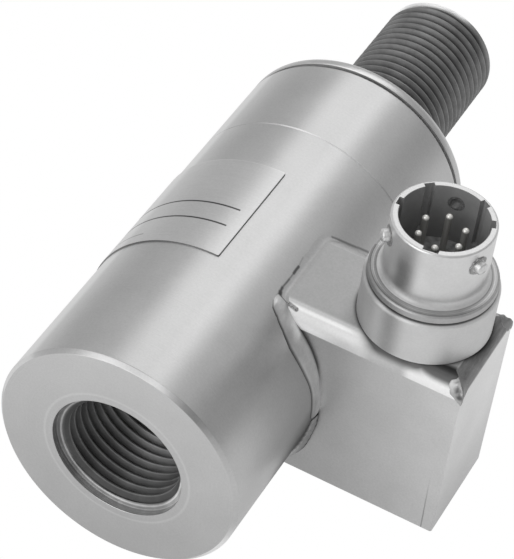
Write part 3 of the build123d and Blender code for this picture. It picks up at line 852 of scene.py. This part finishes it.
def bodyMaterial():
    # turned body: threads dark, partly their own as-cut finish and partly painted shade, with painted
    # highlights on the crests; marks round the bore; painted reflection bands, and heat tint with painted
    # shade beside the lower weld; the crevice beside the housing
    material, surface, place = startMaterial("body_satin")
    along, radius, turn = place.along, place.radius, place.turn
    shade = marksShade(place, body) + turnedShade(surface, along + radius, body)
    onFace = along.fall(0.02, 0.10)
    tone = shade + body["tone"]
    tone += radius.between(*body["faceRing"]) * along.fall(0.05, 0.3) * body["faceRingTone"]
    # painted light and shade: the female face lighter towards the top, darker towards the bottom
    tone += onFace * place.upright.ramp(*body["faceRise"], False)
    # painted reflection bands on the chamfer and along the body
    tone = addReflectionBands(tone, turn, body["chamferStains"], radius.ramp(18.35, 18.5) * along.fall(0.62, 0.72))
    tone = addReflectionBands(tone, turn, body["streaks"], 1 - onFace)

    # beside the lower weld the body is darker and rougher: heat tint together with painted shade where the
    # dark housing is reflected, with an uneven outline
    drift = noiseAt(place.point, 0.16, 3.0, 0.6) * body["heatDrift"]
    heat = (along + drift).window(*body["heatAlong"]) * (turn + drift).window(*body["heatTurn"])
    heat *= body["heat"]
    tone = darkenCrevice(place, tone * (1 - heat))

    onStud = along.window(*body["studSpan"])
    onTip = along.ramp(*body["tipStart"])
    inBore = along.window(*body["boreSpan"]) * radius.fall(9.6, 9.7)
    inRecess = along.window(*body["recessSpan"]) * radius.fall(10.32, 10.38)
    # painted glint on one side of the stud's tip, painted shade on the other
    tone += onTip * turn.ramp(*body["tipGlint"])
    # painted light: the stud lighter on one side, the bore lighter further in; painted shade in the thread
    # roots against painted highlights on the crests
    studTone = radius.ramp(8.6, 9.5, *body["studTone"]) + turn.ramp(15, 45, 0.06, 0.0)
    boreTone = radius.ramp(8.72, 8.9, *body["boreTone"]) + along.ramp(5, 20, 0.0, 0.30)
    rings = noiseAt(place.point, 1.0, 2.0, 0.7, (0.02, 6.0, 0.02))
    # the recess is painted dark as shade, lighter towards the bottom
    recessTone = rings * 0.6 + (turn % 360.0).ramp(215, 275, *body["recessTone"])
    recessTone += radius.between(9.55, 9.78, 0.06) * 0.35
    grime = noiseAt(place.point, 0.35, 4.0, 0.6) + 0.85
    for mask, dark in ((inRecess, recessTone), (onStud, studTone), (inBore, boreTone)):
        tone = blend(tone, mask, dark * grime)

    threads = strongest((onStud, inBore))
    loss = body["metallicLoss"]
    dull = strongest((
        threads * loss["threads"], inRecess * loss["recess"],
        onTip * loss["tip"], inBore * loss["bore"],
    ))
    rough = shade * 0.6 + body["rough"] + threads * 0.08 + inRecess * 0.15 + heat * 0.4
    finishSteel(surface, tone, rough, 1 - dull)
    return material


flange = {
    "tone": 0.55, "rough": 0.34, "lines": 5.0, "depth": 0.1, "lineShade": 0.04,
    "cloud": 0.08, "speck": 0.06, "markSize": 0.12,
}


def flangeMaterial():
    material, surface, place = startMaterial("flange_satin")
    shade = marksShade(place, flange) + turnedShade(surface, place.along, flange)
    finishSteel(surface, shade + flange["tone"], shade * 0.6 + flange["rough"])
    return material


collar = {
    "tone": 0.64, "rough": 0.45, "metallic": 0.5, "lines": 9.0, "depth": 0.12, "lineShade": 0.05,
    "cloud": 0.12, "speck": 0.10, "markSize": 0.2,
    # painted reflection bands down the collar's side: (first angle, last angle, softness, change of tone)
    "stains": ((-108, -92, 8, -0.24), (-165, -117, 8, -0.20)),
    # painted shade in the joint on the collar's top beside the gasket
    "grimeReach": 9.26, "grimeSoftness": 0.12, "grime": 0.55,
}


def collarMaterial():
    # turned, with painted reflection bands down its side and painted shade in the joint under the receptacle
    material, surface, place = startMaterial("collar_turned")
    shade = marksShade(place, collar) + turnedShade(surface, place.upright, collar)
    tone = addReflectionBands(shade + collar["tone"], place.ringTurn, collar["stains"], 1.0)
    # painted shade in the joint: the collar's top darker beside the gasket, under the flange's edge
    reach, soft = collar["grimeReach"], collar["grimeSoftness"]
    joint = place.ringRadius.fall(reach - soft, reach + soft) * place.facingZ.ramp(0.7, 0.95)
    tone *= 1 - joint * collar["grime"]
    finishSteel(surface, tone, shade * 0.6 + collar["rough"], collar["metallic"])
    return material


sheet = {
    # the end wall, front wall and top take different tones by which way they face, as painted light and
    # shade; the top is also rougher
    "tone": 0.75, "rough": 0.46, "cloud": 0.18, "speck": 0.14, "markSize": 0.09,
    "frontTone": 0.55, "frontShade": 0.10, "topTone": 0.47, "topRough": 0.62,
    "bendTone": 0.73, "bendRough": 0.42, "bendMetallic": 0.18, "bendStart": 12.75, "endBendTone": 0.24,
    "seamFrom": (37.75, 24.7, -15.4), "seamTo": (37.45, 24.7, -3.0),
    "dashFrom": (10.3, 26.1, 15.55), "dashTo": (13.0, 25.62, 15.23),
    "collarRadius": 9.65, "collarShade": 0.88,
}


def sheetMaterial():
    # folded sheet: matt top, a front bend with a painted highlight, an end bend painted dark as shade and
    # mottled, a hairline where the end wall is let in
    material, surface, place = startMaterial("housing_sheet")
    across, along, upright = place.across, place.along, place.upright
    facingX, facingZ = place.facingX, place.facingZ
    frontward = -place.facingY
    shade = marksShade(place, sheet)
    # painted light and shade: the front wall lighter towards the right and the top, the end wall darker
    # towards the bottom and the front
    frontTone = across.ramp(22, 38, -0.5, 0.5, False) + upright.ramp(-14, 10, -0.5, 0.5, False)
    frontTone = frontTone * sheet["frontShade"] + sheet["frontTone"]
    endTone = upright.ramp(-14, 8, -0.14, 0.02) + along.ramp(26, 40, -0.05, 0.02) + sheet["tone"]
    tone = blend(endTone, frontward.ramp(0.6, 0.9), frontTone) + shade

    onTop = facingZ.ramp(0.95, 0.998) * facingX.fall(0.05, 0.15)
    frontBend = upright.ramp(sheet["bendStart"], sheet["bendStart"] + 0.25) * frontward.ramp(0.3, 0.5)
    rearBend = place.facingY.ramp(0.03, 0.15) * facingZ.ramp(0.3, 0.5)
    endBend = facingZ.ramp(0.1, 0.3) * (1 - onTop) * facingX.ramp(0.06, 0.2)
    # the front bend, taken as ground flat, is painted bright as a highlight, with a painted highlight line
    # along its upper edge and more painted highlight towards the corner
    bendTone = shade + sheet["bendTone"] + facingZ.between(0.80, 0.92, 0.05) * across.fall(20, 24) * 0.30
    bendTone += across.ramp(23.5, 25.5, 0, -0.16) + across.ramp(29.8, 31.5, 0, 0.40)
    bendTone += facingZ.ramp(0.1, 0.6, 0.35, 0.0) * across.fall(15, 21)
    tops = strongest((onTop, rearBend))
    scale = noiseAt(place.point, 1.0, 3.0, 0.7, (2.0, 0.5, 2.0))
    tone = blend(tone, tops, shade + sheet["topTone"] + rearBend * 0.05)
    tone = blend(tone, frontBend, bendTone)
    # the end bend is painted dark as shade, with mottling
    tone = blend(tone, endBend, scale * 0.28 + sheet["endBendTone"])

    # shade on the bend beside the collar, and under the collar itself
    shadeEdge = across.ramp(22, 27, 0.90, 0.46) + across.ramp(31, 35, 0, -0.16)
    shadedBend = (facingZ - shadeEdge).ramp(0.0, 0.4, 0.0, 0.9) * across.ramp(21.5, 23.5)
    shadedBend *= upright.ramp(12.9, 13.2) * along.fall(27, 28) * (1 - endBend)
    overhang = upright.ramp(14.2, 15.85, 2.2, 0.7, False)
    underCollar = 1 - ((place.ringRadius - sheet["collarRadius"]) / overhang).held()
    underCollar *= underCollar * upright.ramp(13.8, 15.0) * sheet["collarShade"]
    seam = drawLine(place, sheet["seamFrom"], sheet["seamTo"], 0.02, 0.12, 0.08)
    seamMask = seam.mask * seam.share.ramp(0.2, 1.0, 0.5, 0.0)
    hatch = noiseAt(place.point, 1.0, 1.0, 0.5, (5.0, 5.0, 0.5)).ramp(-0.2, 0.1, 0.9, 0.65)
    dash = drawLine(place, sheet["dashFrom"], sheet["dashTo"], 0.22, 0.22, 0.2).mask * hatch
    tone *= 1 - strongest((dash, underCollar, seamMask, shadedBend))

    rough = shade * 0.5 + sheet["rough"] + tops * (sheet["topRough"] - sheet["rough"])
    rough += frontBend * (sheet["bendRough"] - sheet["rough"])
    finishSteel(surface, tone, rough, 1 - frontBend * (1 - sheet["bendMetallic"]))
    return material


weld = {
    "cloud": 0.30, "speck": 0.16, "markSize": 0.5,
    "beadTone": 0.74, "beadRough": 0.40, "toeTone": 0.07, "tailShade": 0.40,
    "nuggetTone": 0.48, "nuggetRough": 0.48, "nuggetMetallic": 0.75, "scorch": 0.55,
    # small scorched pits by the front nugget: (place, radius)
    "pits": (((38.45, 24.6, 14.7), 0.38), ((39.0, 24.7, 13.6), 0.30), ((39.35, 28.4, 14.2), 0.15)),
    "pitShade": 0.7, "pitSoftness": 0.45, "pitWander": 0.6,
}


def beadMaterial():
    # as-welded metal, with painted shadow along the toes where each bead runs out, and the tail darker
    material, surface, place = startMaterial("bead_surface")
    shade = marksShade(place, weld)
    toe = Value(addNode(material.node_tree, "ShaderNodeAttribute", attribute_name="toe").outputs["Fac"])
    dark = strongest((toe, place.upright.fall(-2.0, -1.6) * weld["tailShade"]))
    tone = blend(shade + weld["beadTone"], dark, weld["toeTone"])
    finishSteel(surface, tone, shade * 0.5 + weld["beadRough"])
    return material


def nuggetMaterial():
    # painted shade on the faces turned up and back, bright only on the front
    material, surface, place = startMaterial("weld_surface")
    shade = marksShade(place, weld)
    front = (-place.facingY).ramp(0.15, 0.6).ramp(0.0, 1.0, weld["scorch"], 1.0)
    tone = (shade + weld["nuggetTone"]) * front
    for centre, radius in weld["pits"]:
        pit = drawSpot(place, centre, radius, weld["pitSoftness"], weld["pitWander"])
        tone *= 1 - pit * weld["pitShade"]
    finishSteel(surface, tone, shade * 0.5 + weld["nuggetRough"], weld["nuggetMetallic"])
    return material


def groundMaterial():
    # ground flush: the body's finish along its upper edge runs into the sheet's own, with the crevice on top
    material, surface, place = startMaterial("ground_weld")
    shade = marksShade(place, sheet)
    bodyTone = body["tone"] + topWeld["bodyLift"]
    tone = shade + place.radius.ramp(*topWeld["blend"], bodyTone, sheet["topTone"])
    rough = shade * 0.5 + place.radius.ramp(*topWeld["blend"], body["rough"], sheet["topRough"])
    finishSteel(surface, darkenCrevice(place, tone), rough)
    return material


shell = {
    "tone": 0.69, "rough": 0.34, "lines": 9.0, "depth": 0.12, "lineShade": 0.05,
    "cloud": 0.14, "speck": 0.10, "markSize": 0.3,
    "innerTone": 0.28, "innerMetallic": 0.15, "innerRough": 0.55,
    "rimRough": 0.5, "rootRough": 0.5, "rootTone": -0.24, "stakeTone": 0.30, "stakeRadius": 1.4,
    # painted shade at the root of the barrel, and on the flange's left side
    "rootTurn": (-140, -72, 14), "leftTurn": (-185, -112, 20), "leftShade": 0.7, "rimStart": (34.3, 34.45),
    # painted reflection bands low on the barrel: (first angle, last angle, softness, change of tone)
    "stains": ((-117, -96, 8, -0.30), (-90, -80, 8, 0.06)),
    # turned rings on the flange: (radius, width, change of tone)
    "flangeTone": -0.22, "flangeRings": ((8.05, 0.12, -0.30), (8.45, 0.10, 0.16), (8.85, 0.10, -0.22)),
}


def shellMaterial():
    # plated barrel: duller inside and painted dark there as shade, painted reflection bands and shade low on
    # it, turned rings on the flange, dark staking marks round the bayonet pins
    material, surface, place = startMaterial("shell_plated")
    upright, ringRadius, ringTurn = place.upright, place.ringRadius, place.ringTurn
    shade = marksShade(place, shell) + turnedShade(surface, upright + ringRadius, shell)
    low = upright.window(25.2, 26.6, 29.5, 34.5)
    tone = addReflectionBands(shade + shell["tone"], ringTurn, shell["stains"], low)
    root = upright.fall(25.2, 26.8) * ringRadius.fall(7.8, 8.1) * ringTurn.between(*shell["rootTurn"])
    belowTop = upright.fall(24.9, 25.1)
    leftShare = ringTurn.between(*shell["leftTurn"]) * shell["leftShade"] + 1
    # painted shade at the barrel's root and over the flange, deeper on its left side
    tone += root * shell["rootTone"] + ringRadius.ramp(7.9, 8.2) * belowTop * leftShare * shell["flangeTone"]
    onFlange = place.facingZ.ramp(0.8, 0.95) * belowTop
    for radius, width, change in shell["flangeRings"]:
        tone += ringRadius.between(radius - width / 2, radius + width / 2, 0.06) * onFlange * change

    onRim = upright.ramp(*shell["rimStart"])
    bore = strongest((ringRadius.fall(6.40, 6.46), ringRadius.fall(6.95, 7.0) * (1 - onRim)))
    for turn in bayonet["angles"]:
        centre = pinMiddle + towardPin(turn) * bayonet["barrelRadius"]
        stake = drawSpot(place, centre, shell["stakeRadius"], 0.25, 0.4) * (1 - bore)
        tone = blend(tone, stake, shell["stakeTone"])
    # the inside of the barrel is painted dark as shade
    tone = blend(tone, bore, noiseAt(place.point, 0.45, 3.0, 0.6) * 0.12 + shell["innerTone"])

    rim = place.facingZ.ramp(0.3, 0.8) * onRim
    rough = shade * 0.6 + shell["rough"]
    for mask, kind in ((upright.fall(25.6, 26.6), "rootRough"), (rim, "rimRough"), (bore, "innerRough")):
        rough += mask * (shell[kind] - shell["rough"])
    finishSteel(surface, tone, rough, 1 - bore * (1 - shell["innerMetallic"]))
    return material


pin = {
    "tone": 0.68, "rough": 0.46, "cloud": 0.4, "speck": 0.3, "markSize": 1.6, "rimTone": 0.33,
    # reaches are from the connector's axis; the crescent of painted shade lies below and beside the pin's
    # middle
    "reach": (7.5, 9.0), "brightRadius": 0.97,
    "crescentReach": (7.5, 8.5), "crescentRadius": 0.30, "crescentDrop": 0.75, "crescentShift": 0.3,
    "crescentShade": 0.8,
}


def pinMaterial():
    # bright pins in dark staked rings, with a crescent of painted shade below each, duller inside the barrel
    # and painted darker there as shade
    material, surface, place = startMaterial("pin_plated")
    shade = marksShade(place, pin)
    pins, crescents = [], []
    for turn in bayonet["angles"]:
        out = towardPin(turn)
        near, far = (pinMiddle + out * reach for reach in pin["reach"])
        pins.append(drawLine(place, near, far, pin["brightRadius"], 0.08, 0.15).mask)
        low = pinMiddle - upward * pin["crescentDrop"] - out.cross(upward) * pin["crescentShift"]
        near, far = (low + out * reach for reach in pin["crescentReach"])
        crescents.append(drawLine(place, near, far, pin["crescentRadius"], 0.25, 0.5).mask)
    inside = place.ringRadius.fall(6.9, 7.0)
    bright = strongest(pins) * (1 - strongest(crescents) * pin["crescentShade"]) * (1 - inside)
    # painted shade: the crescent below each pin, and the pins' inner ends inside the barrel
    tone = bright * pin["tone"] + (1 - bright) * pin["rimTone"] + shade - inside * 0.14
    finishSteel(surface, tone, shade * 0.5 + pin["rough"] + inside * 0.25, 1 - inside * 0.6)
    return material


plate = {
    "tone": 0.56, "rough": 0.40, "cloud": 0.08, "speck": 0.11, "markSize": 0.14,
    "end": 45.3, "firstAngle": 88.5, "edgeTone": 0.10, "frontEdgeTone": 0.26, "burr": 0.05,
    # the plate's far part carries a painted reflection, lighter from here on, in degrees
    "streakStart": (136, 143), "streak": 0.13,
    # (distance along, first angle, width, darkness)
    "printedLines": ((34.8, 94.0, 0.30, 0.88), (31.0, 94.6, 0.30, 0.88), (27.2, 130.6, 0.20, 0.55)),
}


def plateMaterial():
    # foil plate: brushed round the body, thin printed rules, dark cut edges with a painted shadow along the
    # side edge, a painted highlight along the back edge, and a painted reflection on its far part
    material, surface, place = startMaterial("plate_foil")
    along, turn = place.along, place.turn % 360.0
    shade = marksShade(place, plate) + noiseAt(place.point, 1.0, 3.0, 0.7, (0.25, 4.0, 0.25)) * 0.10
    # a painted reflection lightens the plate's far part
    tone = shade + plate["tone"] + turn.ramp(*plate["streakStart"]) * plate["streak"]
    for distance, firstAngle, width, darkness in plate["printedLines"]:
        rule = along.between(distance - width / 2, distance + width / 2)
        tone *= 1 - rule * turn.ramp(firstAngle - 0.2, firstAngle + 0.2) * darkness
    # darker front edge, and a painted shadow along the side edge
    tone = blend(tone, (-place.facingY).ramp(0.4, 0.7), plate["frontEdgeTone"])
    tone = blend(tone, turn.fall(plate["firstAngle"] + 0.05, plate["firstAngle"] + 0.45), plate["edgeTone"])
    # painted highlight along the back edge
    tone += along.ramp(plate["end"] - 0.25, plate["end"] - 0.1) * plate["burr"]
    finishSteel(surface, tone, shade * 0.6 + plate["rough"])
    return material


contact = {"shaftTone": 0.36, "tipTone": 0.95, "tipStart": 31.75, "rough": 0.32, "metallic": 0.5}


def contactMaterial():
    # tips painted bright as a highlight, shafts painted darker as shade
    material, surface, place = startMaterial("contact_plating")
    tip = place.upright.ramp(contact["tipStart"], contact["tipStart"] + 0.2)
    streaks = noiseAt(place.point, 1.0, 2.0, 0.6, (2.0, 2.0, 0.2)) * 0.2
    tone = streaks + contact["shaftTone"] + tip * (contact["tipTone"] - contact["shaftTone"])
    finishSteel(surface, tone, streaks + contact["rough"], contact["metallic"], (1.0, 0.99, 0.95))
    return material


plainFinishes = {
    # material: (colour, roughness, metallic, strength of its cloudy marks, nodes)
    "seal_rubber": ((0.55, 0.55, 0.55), 0.36, 0.0, 0.15, ("gap_seal",)),
    # the gasket is dark, and also stands for the shade in the joint under the receptacle's flange
    "gasket_rubber": ((0.10, 0.10, 0.10), 0.5, 0.0, 1.2, ("receptacle_gasket",)),
    "insert_plastic": ((0.42, 0.42, 0.42), 0.36, 0.0, 3.0, ("contact_insert",)),
    "ring_plastic": ((0.10, 0.10, 0.10), 0.5, 0.0, 0.15, ("insert_ring",)),
    "gauge_film": ((0.50, 0.28, 0.07), 0.3, 0.0, 0.15, ("strain_gauges",)),
    "solder": ((0.62, 0.62, 0.62), 0.3, 1.0, 0.15, ("gauge_tabs",)),
    "board_resin": ((0.03, 0.16, 0.06), 0.35, 0.0, 0.15, ("terminal_ring", "circuit_board")),
    "lead_enamel": ((0.55, 0.25, 0.12), 0.3, 1.0, 0.15, ("gauge_leads",)),
    "bush_plastic": ((0.72, 0.71, 0.68), 0.45, 0.0, 0.15, ("lead_bushing",)),
    "harness_jacket": ((0.05, 0.05, 0.05), 0.5, 0.0, 0.15, ("bridge_harness",)),
    "standoff_brass": ((0.68, 0.52, 0.22), 0.3, 1.0, 0.15, ("board_standoffs",)),
    "screw_steel": ((0.55, 0.55, 0.55), 0.32, 1.0, 0.15, ("board_screws",)),
    "resistor_body": ((0.05, 0.05, 0.055), 0.4, 0.0, 0.15, ("trim_resistors",)),
    "wire_jacket": ((0.66, 0.66, 0.63), 0.35, 0.0, 0.15, ("connector_wires",)),
}


def plainMaterial(name, color, rough, metallic, cloud):
    material, surface, place = startMaterial(name)
    marks = useGroup(material.node_tree, handling, point=place.point, size=0.6)
    plug(tinted(marks.shade * cloud + 1.0, color), surface.inputs["Base Color"])
    plug(marks.specks * 0.2 + rough, surface.inputs["Roughness"])
    plug(metallic, surface.inputs["Metallic"])
    return material


def paint(material, *pieces):
    for piece in pieces:
        piece.data.materials.clear()
        piece.data.materials.append(material)


paint(bodyMaterial(), springElement, nodes["main_sleeve"], nodes["end_sleeve"])
paint(flangeMaterial(), nodes["end_flange"])
paint(sheetMaterial(), nodes["housing_shell"], nodes["housing_bottom"])
paint(beadMaterial(), weldFront, weldBack)
paint(nuggetMaterial(), cornerNuggets, nodes["weld_bottom"])
paint(groundMaterial(), weldTop)
paint(collarMaterial(), nodes["connector_collar"])
paint(shellMaterial(), nodes["receptacle_shell"])
paint(pinMaterial(), stakedPins)
paint(plateMaterial(), nodes["nameplate"])
paint(contactMaterial(), nodes["contact_pins"])
for name, (color, rough, metallic, cloud, users) in plainFinishes.items():
    paint(plainMaterial(name, color, rough, metallic, cloud), *(nodes[user] for user in users))
print("materials set")


# floor, light and camera

stage = {
    "floorSize": 6.0, "floorColor": (0.86, 0.86, 0.86, 1), "mirrorShare": 0.6,
    "roomLeft": 0.66, "roomRight": 0.46, "lightTarget": (0.0, 0.03, 0.0),
    # name: (place, size, brightness)
    "lights": {
        "strip_overhead": ((-0.16, 0.85, 0.96), (0.72, 0.9), 1.22),
        "box_front": ((-0.38, -0.95, 0.62), (0.9, 1.2), 1.6),
    },
}


def mixShaders(share, first, second, output):
    mix = addNode(share.tree, "ShaderNodeMixShader")
    for value, socket in zip((share, Value(first.outputs[0]), Value(second.outputs[0])), mix.inputs):
        plug(value, socket)
    plug(Value(mix.outputs[0]), output)


def buildFloor():
    # the part lies on the body and on the housing's lower edge, so the floor is tilted to touch both
    down = math.atan2(housing["bottom"], housing["reach"])
    down -= math.acos(element["bodyRadius"] / math.hypot(housing["reach"], housing["bottom"]))
    half = stage["floorSize"] / 2
    mesh = bpy.data.meshes.new("floor")
    corners = [(-half, -half, 0), (half, -half, 0), (half, half, 0), (-half, half, 0)]
    mesh.from_pydata(corners, [], [(0, 1, 2, 3)])
    floor = addObject("floor", mesh)
    drop = element["bodyRadius"] * mm
    floor.location = (drop * math.cos(down), 0, drop * math.sin(down))
    floor.rotation_euler = (0, -(math.pi / 2 + down), 0)
    material, surface = newMaterial("floor_paper")
    surface.inputs["Base Color"].default_value = stage["floorColor"]
    surface.inputs["Roughness"].default_value = 0.9
    surface.inputs["Specular IOR Level"].default_value = 0.0
    tree = material.node_tree
    glow = addNode(tree, "ShaderNodeEmission", Strength=1.0)
    path = outputsOf(addNode(tree, "ShaderNodeLightPath"))
    mirrored = strongest((path.isGlossyRay, path.isTransmissionRay)) * stage["mirrorShare"]
    shown = strongest((path.isCameraRay, mirrored))
    mixShaders(shown, surface, glow, tree.nodes["Material Output"].inputs["Surface"])
    paint(material, floor)


def buildWorld():
    # a plain room, a little lighter on the left than on the right; the camera sees it white
    world = bpy.data.worlds.new("studio")
    bpy.context.scene.world = world
    world.use_nodes = True
    tree = world.node_tree
    direction = outputsOf(addNode(tree, "ShaderNodeTexCoord")).generated
    level = splitVector(direction)[0].ramp(-0.8, 0.8, stage["roomLeft"], stage["roomRight"], False)
    room = tree.nodes["Background"]
    plug(tinted(level, (1.0, 1.0, 1.0)), room.inputs["Color"])
    white = addNode(tree, "ShaderNodeBackground", Color=(1, 1, 1, 1), Strength=1.0)
    path = outputsOf(addNode(tree, "ShaderNodeLightPath"))
    mixShaders(path.isCameraRay, room, white, tree.nodes["World Output"].inputs["Surface"])


def addSoftLight(name, place, size, brightness):
    data = bpy.data.lights.new(name, "AREA")
    data.shape = "RECTANGLE"
    data.size, data.size_y = size
    data.energy = brightness * math.pi * size[0] * size[1]
    light = addObject(name, data)
    light.location = place
    light.rotation_mode = "QUATERNION"
    light.rotation_quaternion = (Vector(stage["lightTarget"]) - Vector(place)).to_track_quat("-Z", "Y")


camera = {
    # place in metres, lens in millimetres, solved from the outline and edges in the photograph
    "place": (0.10071, -0.2015, 0.26577), "right": (0.87635, 0.47146, 0.09872),
    "down": (0.39916, -0.59607, -0.69668), "forward": (-0.26961, 0.64994, -0.71055),
    "sensor": 36.0, "lens": 161.55, "clip": (0.01, 20.0),
}


def buildCamera():
    data = bpy.data.cameras.new("camera")
    data.sensor_width = camera["sensor"]
    data.lens = camera["lens"]
    data.clip_start, data.clip_end = camera["clip"]
    right, down, forward = (Vector(camera[way]) for way in ("right", "down", "forward"))
    turn = Matrix((right, -down, -forward)).transposed()
    obj = addObject("camera", data)
    obj.matrix_world = Matrix.Translation(camera["place"]) @ turn.to_4x4()
    bpy.context.scene.camera = obj


buildFloor()
buildWorld()
for name, (place, size, brightness) in stage["lights"].items():
    addSoftLight(name, place, size, brightness)
buildCamera()
bpy.context.scene.view_settings.view_transform = "Standard"
print("stage built")
